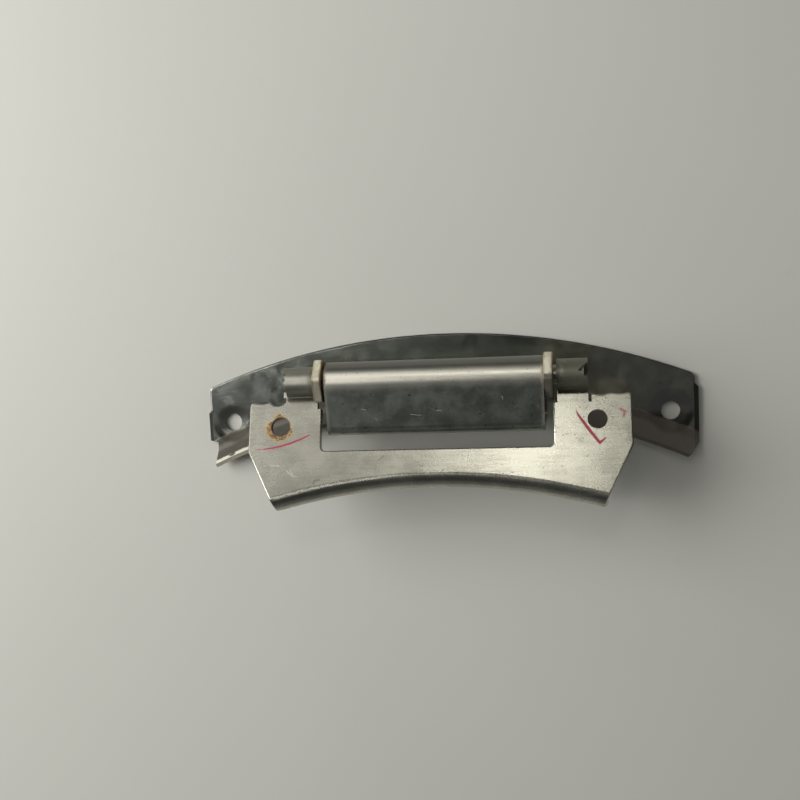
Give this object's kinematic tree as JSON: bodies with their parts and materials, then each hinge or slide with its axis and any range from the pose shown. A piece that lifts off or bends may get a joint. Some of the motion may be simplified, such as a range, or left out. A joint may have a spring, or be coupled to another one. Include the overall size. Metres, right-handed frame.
{
  "type": "washing machine door hinge",
  "caption": "Sheet-steel door hinge for a round washing machine door: an arc-shaped plate with a rolled arm, and a U-shaped bracket that swings on a pin in nylon bushings.",
  "frame": {"origin": "midway between the plate's two screw holes, on the plate's back face", "axes": "+X along the hinge pin, +Y away from the centre of the door, +Z out of the machine's front, up as the hinge lies on its back"},
  "size_m": [0.1363, 0.0452, 0.028],
  "materials": {
    "plate_steel": "dull zinc coating with blotches",
    "bracket_steel": "bright zinc coating, scratched, with a rust ring round one hole",
    "pin_steel": "plain steel",
    "nylon": "cream nylon"
  },
  "bodies": {
    "plate_side": {"hinge_plate": "plate_steel", "bushing_left": "nylon", "bushing_right": "nylon"},
    "door_side": {"bracket": "bracket_steel", "hinge_pin": "pin_steel"}
  },
  "joints": [
    {"name": "door_swing", "type": "hinge", "parent": "plate_side", "child": "door_side", "pos_m": [0, 0.0123, 0.02], "axis": [-1, 0, 0], "range_deg": [-20, 150]}
  ]
}
